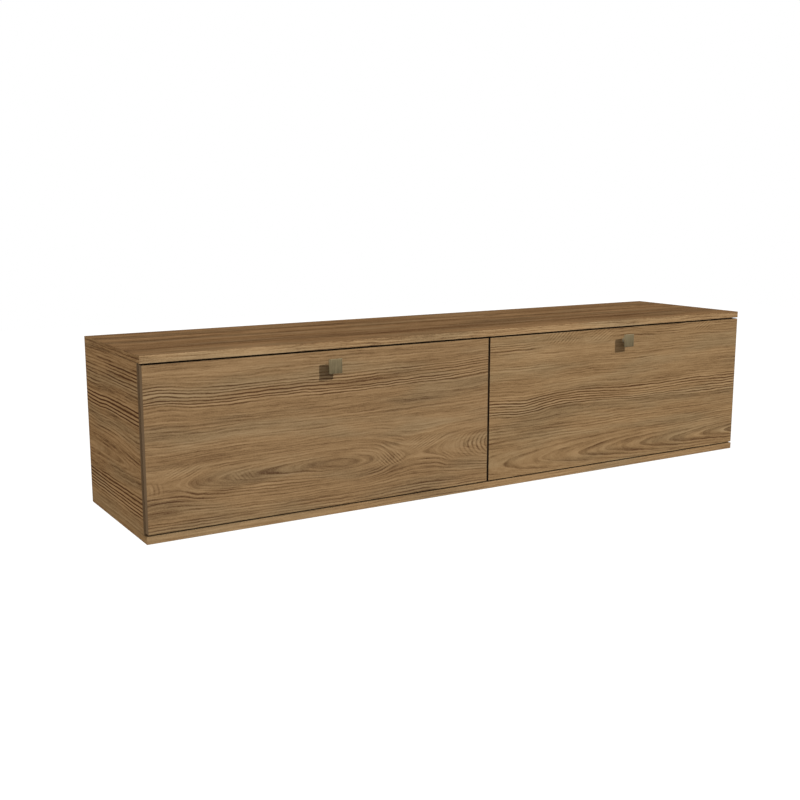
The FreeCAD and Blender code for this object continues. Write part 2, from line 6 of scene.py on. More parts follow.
import bmesh
import bpy
from bpy.props import FloatProperty, FloatVectorProperty, IntProperty, PointerProperty
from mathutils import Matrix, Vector


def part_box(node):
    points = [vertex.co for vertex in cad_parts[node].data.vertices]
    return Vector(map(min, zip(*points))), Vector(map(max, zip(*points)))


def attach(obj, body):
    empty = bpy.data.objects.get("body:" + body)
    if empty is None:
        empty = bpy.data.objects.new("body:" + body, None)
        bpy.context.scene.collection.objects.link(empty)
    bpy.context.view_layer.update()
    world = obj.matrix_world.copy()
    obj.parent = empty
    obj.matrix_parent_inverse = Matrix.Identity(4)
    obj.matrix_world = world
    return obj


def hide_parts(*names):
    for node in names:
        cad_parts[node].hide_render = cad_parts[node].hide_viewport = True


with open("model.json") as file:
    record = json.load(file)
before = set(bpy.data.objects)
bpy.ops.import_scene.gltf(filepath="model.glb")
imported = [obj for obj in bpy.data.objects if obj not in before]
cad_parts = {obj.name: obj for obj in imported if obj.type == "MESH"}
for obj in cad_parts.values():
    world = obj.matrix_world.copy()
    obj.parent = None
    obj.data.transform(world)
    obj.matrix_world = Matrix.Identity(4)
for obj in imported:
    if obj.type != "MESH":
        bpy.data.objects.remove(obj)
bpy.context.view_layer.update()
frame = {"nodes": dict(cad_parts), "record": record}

bl_info = {
    "name": "Wall-hung cabinet",
    "version": (1, 0, 0),
    "blender": (4, 5, 0),
    "location": "3D View > Sidebar > Cabinet",
    "description": "Finishes, knobs, pads and studio of a wall-hung cabinet with drop-down doors",
    "category": "Object",
}

SIDES = ("left", "right")
MM = 1000.0

# The cabinet's outer faces, from the frame
LEFT_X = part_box("left_side_panel")[0].x
FRONT_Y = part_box("top_panel")[0].y
BOTTOM_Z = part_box("bottom_panel")[0].z
TOP_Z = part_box("top_panel")[1].z
WIDTH = (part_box("top_panel")[1].x - LEFT_X) * MM

# The photograph's viewpoint: the camera's place, how many degrees it looks down and is turned, its
# focal length and frame width in pixels, its sensor's width in millimetres and how far it sees
CAMERA_PLACE = (-1.4142, -2.2875, 0.4563)
CAMERA_DOWN = 10.29
CAMERA_TURN = -31.53
FOCAL_PIXELS = 1088.4
FRAME_PIXELS = 800.0
SENSOR_WIDTH = 36.0
SIGHT_LIMIT = 200.0

# The studio's suns: name, direction of the sun from the cabinet, strength and width in degrees
SUNS = (
    ("key", (0.85, -1.0, 0.85), 2.88, 0.5),
    ("fill", (-1.0, -0.2, 0.05), 1.08, 25.0),
    ("back", (0.5, 1.0, 0.05), 1.0, 25.0),
)

# Glow of the floor and the world as they are seen, and the world's light on the cabinet
FLOOR_SEEN = 0.85
WORLD_SEEN = 1.0
WORLD_LIGHT = 0.42
WHITE = (1.0, 1.0, 1.0)


def colour_setting(name, description, default):
    """Property that holds a linear colour."""
    return FloatVectorProperty(
        name=name, description=description, subtype="COLOR", size=3, default=default, min=0, max=1)


def length_setting(name, description, default, least, most):
    """Property that holds a length in metres."""
    return FloatProperty(
        name=name, description=description, unit="LENGTH", default=default, min=least, max=most)


class CabinetColours(bpy.types.PropertyGroup):
    """Colours of the finishes, as linear values."""

    wood_dark: colour_setting("Late wood", "Darkest grain lines of the wood print", (0.092, 0.043, 0.020))
    wood_mid: colour_setting("Ground", "Middle tone of the wood print", (0.263, 0.158, 0.0735))
    wood_light: colour_setting("Early wood", "Lightest streaks of the wood print", (0.386, 0.245, 0.1225))
    wood_olive: colour_setting(
        "Olive cast", "Greener tone that drifts through the wood print", (0.226, 0.158, 0.0835))
    door_edge: colour_setting(
        "Door edge band", "Grey-brown band on the outer edges of the doors", (0.230, 0.150, 0.084))
    # Painted shade: this dark colour stands for the shade in the gaps round the doors and under the top
    # board
    gap_shade: colour_setting(
        "Gap edge band", "Dark band on the door edges that face a gap", (0.060, 0.038, 0.021))
    # Edge band of the uprights, made lighter than the print as painted light that lifts the shade the doors
    # throw on their front edges
    side_band_painted_light: colour_setting(
        "Upright edge band", "Band on the front edges of the upright boards", (0.350, 0.228, 0.125))
    hardboard: colour_setting("Hardboard", "Back of pressed wood fibre", (0.200, 0.118, 0.060))
    beech: colour_setting("Beech", "Dowels", (0.600, 0.420, 0.250))
    bronze: colour_setting("Bronze", "Knob plates", (0.160, 0.122, 0.064))
    # Bronze of the stems, made lighter than the plates' as painted light that lifts the shade of the plates
    # on them
    stem: colour_setting("Stem bronze", "Lighter bronze of the knob stems", (0.310, 0.262, 0.175))
    steel: colour_setting("Plated steel", "Hinges, stays and screws", (0.560, 0.570, 0.580))
    zinc: colour_setting("Cast zinc", "Cam locks", (0.420, 0.425, 0.440))
    plastic: colour_setting("Brown plastic", "Catch holders", (0.075, 0.040, 0.020))
    ferrite: colour_setting("Ferrite", "Catch magnets", (0.030, 0.030, 0.032))
    pad: colour_setting("Soft pad", "Door bumpers", (0.620, 0.620, 0.600))
    floor: colour_setting("Floor", "Share of the light that the floor throws back", (0.250, 0.250, 0.250))


class CabinetSizes(bpy.types.PropertyGroup):
    """Sizes of what is modelled here; everything else takes its size from the frame."""

    knob_bevel: length_setting("Knob bevel", "Rounding of the knob plate's edges", 0.0006, 0.0001, 0.002)
    collar_reach: length_setting(
        "Collar reach", "How far the stem's collars stand out from the stem", 0.0012, 0.0, 0.004)
    collar_height: length_setting("Collar height", "Thickness of the stem's collars", 0.0012, 0.0002, 0.004)
    bevel_steps: IntProperty(
        name="Bevel steps", description="Segments of each rounded edge", default=3, min=1, max=8)
    pad_bevel: length_setting("Pad dome", "Rounding of the door pads", 0.0012, 0.0001, 0.002)
    ring_pitch: length_setting(
        "Ring pitch", "Distance between growth rings in the wood print", 0.0062, 0.001, 0.05)
    floor_drop: length_setting("Floor drop", "How far the floor lies below the cabinet", 3.0, 0.0, 10.0)
    floor_size: length_setting("Floor size", "Side of the square floor", 60.0, 1.0, 200.0)


class Wire:
    """One output of a material's nodes. Arithmetic on it adds Math nodes."""

    def __init__(self, finish, socket):
        self.finish = finish
        self.socket = socket

    def math(self, operation, *others):
        return self.finish.math(operation, self, *others)

    def __add__(self, other):
        return self.math("ADD", other)

    def __sub__(self, other):
        return self.math("SUBTRACT", other)

    def __mul__(self, other):
        return self.math("MULTIPLY", other)

    def __truediv__(self, other):
        return self.math("DIVIDE", other)

    def __rsub__(self, other):
        return self.finish.math("SUBTRACT", other, self)

    def __rtruediv__(self, other):
        return self.finish.math("DIVIDE", other, self)

    def __neg__(self):
        return self * -1.0

    __radd__ = __add__
    __rmul__ = __mul__


class Layer(NamedTuple):
    """Noise on a board, with clouds of a length and width in millimetres.

    weight is its share in what it is added to, detail and roughness are the noise's own, and depth
    is the slice of the noise that the board shows.
    """

    length: float
    width: float
    weight: float = 1.0
    detail: float = 2.0
    roughness: float = 0.5
    depth: float = 0.0


# Cosine past which a surface counts as facing along an axis
FACING_COSINE = 0.7

# Where a plateau's sides start to fall and where they reach 0, in half widths from its centre
PLATEAU_EDGE = 0.5
PLATEAU_FOOT = 1.4


class Finish:
    """The nodes of a material, or of the world."""

    def __init__(self, owner):
        owner.use_nodes = True
        self.owner = owner
        self.tree = owner.node_tree
        self.tree.nodes.clear()

    def node(self, kind, settings=None, values=None, output=0):
        """Add a node, give it its settings, then the values or wires of its sockets."""
        made = self.tree.nodes.new(kind)
        for name, value in (settings or {}).items():
            if name == "stops":
                self.set_stops(made.color_ramp, value)
            elif name == "points":
                self.set_points(made.mapping, value)
            else:
                setattr(made, name, value)
        for key, value in (values or {}).items():
            if isinstance(value, Wire):
                self.tree.links.new(value.socket, made.inputs[key])
            else:
                made.inputs[key].default_value = value
        return Wire(self, made.outputs[output]) if made.outputs else None

    def set_stops(self, ramp, stops):
        """Give a colour ramp its stops, each a place and a colour."""
        while len(ramp.elements) < len(stops):
            ramp.elements.new(1.0)
        for element, (place, colour) in zip(ramp.elements, stops):
            element.position = place
            element.color = (*colour, 1.0)

    def set_points(self, mapping, points):
        """Give a curve its points, each a place and a height from 0 to 1."""
        line = mapping.curves[0]
        while len(line.points) < len(points):
            line.points.new(0.5, 0.5)
        for point, place in zip(line.points, points):
            point.location = place
            point.handle_type = "AUTO_CLAMPED"
        mapping.update()

    def curve(self, value, points, top):
        """Smooth line through given points, along the cabinet and up to a top height."""
        shares = [(place / WIDTH, height / top) for place, height in points]
        return self.node("ShaderNodeFloatCurve", {"points": shares}, {1: value / WIDTH}) * top

    def math(self, operation, *values):
        return self.node("ShaderNodeMath", {"operation": operation}, dict(enumerate(values)))

    def mix(self, factor, first, second, blend="MIX"):
        """Mix two colours."""
        settings = {"data_type": "RGBA", "blend_type": blend}
        values = {0: factor, 6: colour_of(first), 7: colour_of(second)}
        return self.node("ShaderNodeMix", settings, values, 2)

    def tinted(self, colour, tint):
        """Multiply a colour by a tint."""
        return self.mix(1.0, colour, tint, "MULTIPLY")

    def smooth(self, value, low, high):
        """Smooth step from 0 at low to 1 at high."""
        settings = {"interpolation_type": "SMOOTHSTEP"}
        return self.node("ShaderNodeMapRange", settings, {0: value, 1: low, 2: high})

    def between(self, share, low, high):
        """Number between two others, by a share."""
        return share * (high - low) + low

    def noise(self, vector, scale=1.0, detail=2.0, roughness=0.5, distortion=0.0):
        """Noise of a vector, near 0.5."""
        values = {"Vector": vector, "Scale": scale, "Detail": detail}
        values.update({"Roughness": roughness, "Distortion": distortion})
        return self.node("ShaderNodeTexNoise", {"noise_dimensions": "3D"}, values)

    def line_noise(self, value, detail):
        """Noise along a single coordinate, near 0.5."""
        values = {"W": value, "Scale": 1.0, "Detail": detail}
        return self.node("ShaderNodeTexNoise", {"noise_dimensions": "1D"}, values)

    def clouds(self, layer, along, across, depth=None):
        """A layer's noise on a board, about 0."""
        depth = layer.depth if depth is None else depth
        spot = self.vector(along / layer.length, across / layer.width, depth)
        return self.noise(spot, detail=layer.detail, roughness=layer.roughness) - 0.5

    def vector(self, x=0.0, y=0.0, z=0.0):
        return self.node("ShaderNodeCombineXYZ", None, {0: x, 1: y, 2: z})

    def dot(self, vector, direction):
        """Share of a vector along a direction."""
        return self.node("ShaderNodeVectorMath", {"operation": "DOT_PRODUCT"}, {0: vector, 1: direction}, 1)

    def stretched(self, vector, sizes):
        """Vector divided by a size along each axis."""
        return self.node("ShaderNodeVectorMath", {"operation": "DIVIDE"}, {0: vector, 1: sizes})

    def place(self):
        """Object coordinates in millimetres."""
        source = self.node("ShaderNodeTexCoord", output="Object")
        return self.node("ShaderNodeVectorMath", {"operation": "SCALE"}, {0: source, 3: MM})

    def facing(self, direction):
        """1 where the surface faces along a direction or against it, else 0."""
        normal = self.node("ShaderNodeTexCoord", output="Normal")
        return self.dot(normal, direction).math("ABSOLUTE").math("GREATER_THAN", FACING_COSINE)

    def hump(self, value, centre, spread):
        """Bell curve of a coordinate, 1 at its centre."""
        offset = (value - centre) / spread
        return (-(offset * offset)).math("EXPONENT")

    def plateau(self, value, centre, half, foot=PLATEAU_FOOT, edge=PLATEAU_EDGE):
        """1 near a coordinate's centre, falling to 0 about a half width from it."""
        return self.smooth((value - centre).math("ABSOLUTE"), half * foot, half * edge)

    def surface(self, colour, roughness, bump, bump_depth, **constants):
        """Close the material with a Principled shader."""
        values = {"Base Color": colour_of(colour), "Roughness": roughness}
        values.update({name.replace("_", " "): value for name, value in constants.items()})
        bump_values = {"Strength": 1.0, "Distance": bump_depth, "Height": bump}
        values["Normal"] = self.node("ShaderNodeBump", None, bump_values)
        return self.close(self.node("ShaderNodeBsdfPrincipled", None, values))

    def close(self, shader, kind="ShaderNodeOutputMaterial"):
        """Send a shader to the output, and give back the material or world."""
        self.node(kind, None, {"Surface": shader})
        return self.owner


def new_finish(name):
    """Start a material."""
    return Finish(bpy.data.materials.new(name))


def colour_of(value):
    """A colour socket takes four numbers."""
    if isinstance(value, Wire):
        return value
    return (*tuple(value)[:3], 1.0)


# Waves in the long lines of a board, whose weights are their heights in millimetres
WAVES = (Layer(260.0, 70.0, 14.0, 1.0), Layer(40.0, 16.0, 4.5, 1.0), Layer(11.0, 6.0, 0.8, 1.0))

# Layers of the wood print's tone
BROAD = Layer(380.0, 24.0, weight=0.66, depth=9.0)
VEIN = Layer(150.0, 2.6, weight=1.10, roughness=0.6)
STREAK = Layer(28.0, 2.4, weight=0.65, roughness=0.6)
FIBRE = Layer(9.0, 0.9, weight=0.34, depth=5.0)
PORE = Layer(3.4, 2.4, weight=0.40, detail=1.0)

# Distance across a board over which its veins and streaks change, in millimetres
VEIN_CHANGE = 60.0
STREAK_CHANGE = 40.0

# Clouds in which the ring lines are stronger, and the range of noise over which they grow
UNEVEN = Layer(160.0, 8.0, detail=1.0, depth=2.0)
UNEVEN_RANGE = (-0.15, 0.12)

# Clouds of the olive cast, and the range of noise over which they grow
CAST = Layer(260.0, 45.0, weight=0.45, depth=21.0)
CAST_RANGE = (-0.08, 0.18)

# Range that the climb of a heart may take, in millimetres
CLIMB_SPAN = 80.0

# Drift in the spacing of the rings: its length in millimetres, and how many rings it shifts them by
DRIFT_LENGTH = 21.0
DRIFT_RINGS = 0.8

# Cosine of a ring's turn at which its dark line starts, and the line's mean
RING_START = -0.35
LINE_MEAN = 0.39

# Parts of a ring over which a line at a heart darkens and clears again, and that line's mean
HEART_RISE = (0.05, 0.90)
HEART_FALL = (0.92, 1.0)
HEART_MEAN = 0.42

# Rows of steep ring ends: strength, and the field cleared for them, along and across, in half sizes
TIP_STRENGTH = 0.75
TIP_FIELD = (1.35, 1.3)

# Strength of the lines in a dark band and outside it, each where they are faintest and strongest
BAND_LINES = (0.595, 0.85)
PLAIN_LINES = (0.05, 0.21)

# Dark bands: highest strength, the foot and the edge of their sides in half widths, and their shade
BAND_LIMIT = 2.0
BAND_SIDES = (1.3, 0.7)
BAND_SHADE = 0.06

# How far the streaks fade at a heart
STREAK_FADE = 0.15

# Foil over the print: its roughness, what the fibres take from that, the share of the lines in its
# relief, and the relief's depth in metres
FOIL_ROUGHNESS = 0.66
FOIL_CHANGE = 0.12
LINE_RELIEF = 0.3
FOIL_RELIEF = 0.00004

# Painted shade of the gaps: half widths of the dark lines on the faces at the foot and head of a door
# and under the top board, and the middle and half width of the one between the doors, in millimetres
DOOR_FOOT_SHADE = 0.1
DOOR_HEAD_SHADE = 0.2
TOP_GAP_SHADE = 0.7
MIDDLE_GAP_SHADE = ((WIDTH / 2 + 1.0, 2.8),)

# How much darker the edge bands get, and how near the cabinet's ends the doors' outer edges lie
BAND_DARK = 0.8
END_MARGIN = 5.0

# Tints of the front edges of the top and bottom boards
TOP_FRONT_TINT = (1.15, 1.15, 1.15)
BOTTOM_FRONT_TINT = (1.12, 1.12, 1.12)

# Figure of each board, in millimetres. Along runs from the cabinet's left face, or from its rear on
# the sides, and across runs up from its bottom, or back from its front on the top and bottom.
# tone, depth, calm and tint: the print's middle tone, the strength of its lines, how far the lines
#   fade at a heart, and its colour cast; the top board's tint also darkens it as painted shade
# waves and pitch: how strongly the lines waver, and their spacing against the usual one
# hearts: height, fade, nose and climb of each line that the cathedrals are drawn about, the pith
#   first. The climb says, place by place along the board, how far outwards the face cuts the heart.
# tips: place, half length, height, half height, pitch, slant and roundness of each row of steep
#   ring ends at a heart
# bends: place, spread, height, height spread and rise of each bend in the lines
# bands: height, half width and strength along the board of each group of dark lines
# patches: place, spread, height, height spread and shade of each dark or light cloud
FIGURES = {
    "left_door": {
        "tone": 0.56, "depth": 1.03, "calm": 0.50, "waves": 1.0, "pitch": 1.0, "tint": (1.0, 1.0, 1.0),
        "hearts": [
            (108.0, 50.0, 14.0, [(0, 10), (40, 12), (110, 2), (200, -7), (320, -14), (400, -18),
                                 (470, -14), (560, 12), (600, 16), (690, 2), (790, -18)]),
        ],
        "tips": [
            (536, 32, 104, 15, 8.5, 1.0, 0.0), (622, 38, 130, 14, 12.0, -2.2, 0.0),
            (697, 28, 91, 10, 11.0, 1.6, 0.0), (748, 46, 109, 25, 11.5, 0.0, 0.03),
            (22, 14, 106, 12, 9.0, 0.2, -0.02), (80, 38, 131, 13, 13.0, -2.4, 0.0),
            (200, 24, 107, 9, 9.0, 0.8, 0.0),
        ],
        "bends": [(35, 45, 270, 45, 6), (170, 80, 270, 45, -5), (800, 80, 275, 60, 10)],
        "bands": [
            (274, 20, [(0, 0.76), (380, 0.74), (440, 0.46), (640, 0.42), (700, 0.68), (790, 0.76)]),
            (261, 7, [(0, 0.10), (380, 0.10), (440, 0.45), (680, 0.50), (720, 0.10), (790, 0.10)]),
            (80, 9, [(0, 0.45), (250, 0.40), (330, 0.10), (790, 0.10)]),
            (46, 34, [(0, 0.26), (400, 0.20), (790, 0.24)]),
            (108, 32, [(0, 0.12), (30, 0.14), (60, 0.34), (110, 0.30), (160, 0.24), (300, 0.28),
                       (430, 0.34), (500, 0.46), (790, 0.46)]),
        ],
        "patches": [
            (230, 60, 103, 12, -0.08), (395, 55, 108, 11, -0.08), (70, 90, 210, 11, -0.10),
            (300, 500, 322, 14, 0.06),
            (200, 70, 226, 7, -0.12), (590, 70, 214, 10, -0.10), (680, 90, 170, 22, 0.10),
            (150, 110, 192, 10, 0.08), (420, 140, 149, 7, -0.07), (150, 200, 45, 26, -0.06),
            (650, 80, 35, 16, -0.08), (660, 130, 309, 4, -0.14), (175, 45, 87, 4, -0.22),
            (30, 45, 56, 13, -0.10), (110, 110, 77, 4, -0.16),
            (395, 500, 240, 16, -0.06), (395, 500, 200, 16, 0.06), (450, 450, 122, 18, 0.07),
            (300, 500, 60, 35, -0.05), (50, 150, 180, 120, -0.05),
        ],
    },
    "right_door": {
        "tone": 0.57, "depth": 1.06, "calm": 0.20, "waves": 1.0, "pitch": 1.0, "tint": (1.02, 1.02, 1.0),
        "hearts": [
            (52.0, 46.0, 26.0, [(790, 20), (1580, -28)]),
            (352.0, 30.0, 10.0, [(790, 0), (945, 0), (1050, 8), (1160, 14), (1190, 14), (1300, 2),
                                 (1340, 2), (1420, 8), (1580, 2)]),
        ],
        "tips": [
            (1003, 46, 330, 15, 10.5, -1.2, 0.0), (1120, 36, 328, 15, 13.0, -1.8, 0.0),
            (1455, 28, 334, 12, 13.0, -1.8, 0.0),
        ],
        "bends": [(895, 60, 184, 40, -6), (1050, 110, 184, 45, 5)],
        "bands": [
            (183, 20, [(790, 0.72), (900, 0.80), (1000, 0.72), (1300, 0.66), (1580, 0.88)]),
            (52, 45, [(790, 0.28), (1580, 0.36)]),
            (122, 24, [(790, 0.16), (1580, 0.16)]),
            (46, 18, [(790, 0.30), (900, 0.0), (1350, 0.0), (1500, 0.30), (1580, 0.35)]),
            (318, 10, [(790, 0.95), (900, 0.85), (950, 0.0), (1580, 0.0)]),
            (332, 20, [(790, 0.0), (920, 0.10), (960, 0.38), (1150, 0.42), (1200, 0.30), (1580, 0.35)]),
        ],
        "patches": [
            (1045, 55, 241, 8, -0.14), (930, 60, 246, 10, -0.06), (1540, 120, 236, 14, -0.10),
            (870, 130, 112, 13, -0.09), (1450, 110, 96, 10, -0.06), (1120, 120, 221, 8, 0.07),
            (1330, 100, 260, 35, 0.06), (960, 80, 144, 3, -0.14), (1220, 80, 145, 3, -0.12),
            (1185, 500, 300, 35, 0.06), (1185, 500, 198, 16, -0.12), (1185, 600, 158, 14, -0.04),
        ],
    },
    "left_side": {
        "tone": 0.625, "depth": 1.55, "calm": 0.6, "waves": 0.6, "pitch": 1.15, "tint": (1.07, 1.0, 0.92),
        "hearts": [(136.0, 45.0, 12.0, [(0, 0), (150, 1), (250, 5), (358, 12)])],
        "tips": [],
        "bends": [(60, 60, 240, 60, -3), (320, 120, 165, 40, -8)],
        "bands": [
            (239, 15, [(0, 1.30), (230, 1.35), (358, 1.00)]),
            (66, 20, [(0, 1.45), (150, 1.30), (358, 0.70)]),
            (307, 20, [(0, 0.25), (150, 0.35), (220, 0.60), (358, 0.60)]),
            (274, 5, [(0, 0.70), (80, 0.70), (110, 0.0), (358, 0.0)]),
            (182, 7, [(0, 0.0), (50, 0.60), (150, 0.60), (358, 0.50)]),
            (155, 10, [(0, 0.0), (220, 0.0), (290, 0.50), (358, 0.50)]),
            (120, 12, [(0, 0.0), (200, 0.0), (300, 0.40), (358, 0.50)]),
        ],
        "patches": [(180, 400, 240, 13, -0.22), (60, 260, 68, 16, -0.26), (300, 120, 308, 16, -0.12)],
    },
    # The top board's tint darkens and cools its print: painted shade on its upper face
    "top": {
        "tone": 0.56, "depth": 1.6, "calm": 0.5, "waves": 1.0, "pitch": 1.0, "tint": (0.80, 0.735, 0.69),
        "hearts": [(250.0, 60.0, 20.0, [(0, -10), (700, 12), (1100, -8), (1580, 20)])],
        "tips": [],
        "bends": [(600, 200, 108, 50, 8)],
        "bands": [(108, 30, [(0, 0.35), (1580, 0.35)]), (208, 9, [(0, 0.30), (1580, 0.30)])],
        "patches": [
            (800, 1500, 285, 12, -0.16), (800, 1500, 245, 11, 0.14), (800, 1500, 211, 9, -0.22),
            (700, 1100, 184, 8, 0.12), (800, 1600, 137, 9, -0.20), (200, 300, 111, 7, 0.16),
            (800, 1600, 84, 19, -0.26), (800, 1600, 24, 20, 0.12),
        ],
    },
    "plain": {
        "tone": 0.56, "depth": 1.0, "calm": 0.5, "waves": 0.8, "pitch": 1.0, "tint": (1.0, 1.0, 1.0),
        "hearts": [(190.0, 50.0, 14.0, [(0, 15), (300, -12), (700, 20), (1200, -10), (1580, 15)])],
        "tips": [],
        "bends": [],
        "bands": [(90, 20, [(0, 0.5), (1580, 0.5)]), (280, 16, [(0, 0.5), (1580, 0.5)])],
        "patches": [],
    },
}

# Which way each board's grain runs: the directions along and across it, and the offsets of both in
# millimetres
GRAIN = {
    "door": ((1, 0, 0), (0, 1, 1), -LEFT_X * MM, (-FRONT_Y - BOTTOM_Z) * MM),
    "top": ((1, 0, 0), (0, 1, -1), -LEFT_X * MM, (TOP_Z - FRONT_Y) * MM),
    "bottom": ((1, 0, 0), (0, 1, 1), -LEFT_X * MM, (-BOTTOM_Z - FRONT_Y) * MM),
    "side": ((0, -1, 0), (1, 0, 1), 0.0, (-LEFT_X - BOTTOM_Z) * MM),
}


def shaded(colour, share):
    """Colour made darker or lighter by a share."""
    return [channel * share for channel in colour]


def rise_of(z):
    """Height of a place above the cabinet's bottom, in millimetres."""
    return (z - BOTTOM_Z) * MM


def surface_rise(finish, place):
    """Height of the surface above the cabinet's bottom, in millimetres."""
    return finish.dot(place, (0, 0, 1)) - BOTTOM_Z * MM


def board_axes(finish, place, grain):
    """Coordinates along and across a board's grain, which runs on the ends of the top and bottom
    boards as on the sides."""
    along_step, across_step, along_start, across_start = GRAIN[grain]
    along = finish.dot(place, along_step) + along_start
    across = finish.dot(place, across_step) + across_start
    if grain in ("top", "bottom"):
        end = finish.facing((1, 0, 0))
        along = along + (finish.dot(place, GRAIN["side"][0]) - along) * end
        across = across + (surface_rise(finish, place) - across) * end
    return along, across


def hill(finish, along, across, place, spread, height, height_spread):
    """Rounded hill on a board, 1 at its middle."""
    return finish.hump(along, place, spread) * finish.hump(across, height, height_spread)


def field(finish, along, across, place, half, height, half_height):
    """1 in a patch of a board, falling to 0 round it."""
    return finish.plateau(along, place, half) * finish.plateau(across, height, half_height)


def bent_grain(finish, along, across, waves, bends):
    """Across coordinate whose lines of equal value are the board's long lines."""
    bent = across
    for layer in WAVES:
        bent = bent + finish.clouds(layer, along, across) * (layer.weight * waves)
    for bend in bends:
        *where, rise = bend
        bent = bent - hill(finish, along, across, *where) * rise
    return bent


def grain_rings(finish, along, bent, hearts):
    """Distance from the pith, whose level lines are the growth rings, and how near a heart is.

    The first heart is the pith. The others only draw the rings near them, the other way round.
    """
    rings, near, close = None, 0.0, 0.0
    for height, fade, nose, climb in hearts:
        offset = bent - height
        raised = [(place, rise + CLIMB_SPAN / 2) for place, rise in climb]
        share = finish.hump(offset, 0.0, fade)
        lift = (finish.curve(along, raised, CLIMB_SPAN) - CLIMB_SPAN / 2) * share
        distance = (offset * offset + nose * nose).math("SQRT")
        rings = distance + lift if rings is None else rings - lift
        near = share.math("MAXIMUM", near)
        close = finish.hump(offset, 0.0, nose).math("MAXIMUM", close)
    return rings, near, close


def ring_line(finish, turns):
    """Dark share of a growth ring about its mean, once for each whole turn."""
    return finish.smooth((turns * math.tau).math("COSINE"), RING_START, 1.0) - LINE_MEAN


def heart_line(finish, turns):
    """Dark share about its mean of a growth ring that starts sharply and fades inwards."""
    part = turns.math("FRACT")
    return finish.smooth(part, *HEART_RISE) * (1.0 - finish.smooth(part, *HEART_FALL)) - HEART_MEAN


def growth_lines(finish, figure, rings, near, close):
    """Lines of the growth rings, of the one kind far from a heart and of the other kind near it."""
    pitch = bpy.context.scene.cabinet_sizes.ring_pitch * MM * figure["pitch"]
    drift = (finish.line_noise(rings / DRIFT_LENGTH, 1.0) - 0.5) * DRIFT_RINGS
    turns = rings / pitch + drift
    line = ring_line(finish, turns) * (1.0 - near) + heart_line(finish, turns) * near
    return line * (1.0 - close * figure["calm"])


def with_ring_ends(finish, line, tips, along, across, bent):
    """Lay rows of steep ring ends over the lines, each in a cleared field."""
    middle = (bent + across) / 2.0
    for place, half, height, half_height, pitch, slant, roundness in tips:
        offset = middle - height
        tip = ring_line(finish, (along + offset * slant - offset * offset * roundness) / pitch)
        clear_half = half * TIP_FIELD[0]
        clear_height = half_height * TIP_FIELD[1]
        cleared = field(finish, along, bent, place, clear_half, height, clear_height)
        shown = field(finish, along, bent, place, half, height, half_height)
        line = line * (1.0 - cleared) + tip * shown * TIP_STRENGTH
    return line


def dark_bands(finish, bands, along, bent):
    """Strength of the groups of dark lines."""
    strength = 0.0
    for height, half, strengths in bands:
        group = finish.plateau(bent, height, half, *BAND_SIDES)
        strength = strength + group * finish.curve(along, strengths, BAND_LIMIT)
    return strength


def edge_band_with_shade(finish, colours, grain, along, streak):
    """Plain band on a board's edges; a door's edges that face a gap take painted shade."""
    # The uprights' band is lighter as painted light against the doors' shade
    base = colours.door_edge if grain == "door" else colours.side_band_painted_light
    band = finish.mix(streak + 0.5, base, shaded(base, BAND_DARK))
    if grain != "door":
        return band
    # Painted shade of the gaps on the doors' inner side edges, away from the cabinet's ends
    outer = (along - WIDTH / 2).math("ABSOLUTE").math("GREATER_THAN", WIDTH / 2 - END_MARGIN)
    return finish.mix(outer * finish.facing((1, 0, 0)), colours.gap_shade, band)


def painted_shade_lines(value, lines):
    """1 on thin lines of painted shade, each at a place and of a half width on a coordinate, else 0."""
    shade = 0.0
    for place, half in lines:
        shade = (value - place).math("ABSOLUTE").math("LESS_THAN", half) + shade
    return shade


def olive_share(colours):
    """Factor that turns the ground colour into the olive one."""
    return [olive / ground for olive, ground in zip(colours.wood_olive, colours.wood_mid)]


def wood_colour(finish, colours, tone, along, across):
    """Colour of a tone from 0 to 1, under an olive cast that drifts over the board."""
    stops = [(0.0, colours.wood_dark), (0.5, colours.wood_mid), (1.0, colours.wood_light)]
    colour = finish.node("ShaderNodeValToRGB", {"stops": stops}, {0: tone})
    cast = finish.smooth(finish.clouds(CAST, along, across), *CAST_RANGE)
    return finish.mix(cast * CAST.weight, colour, finish.tinted(colour, olive_share(colours)))


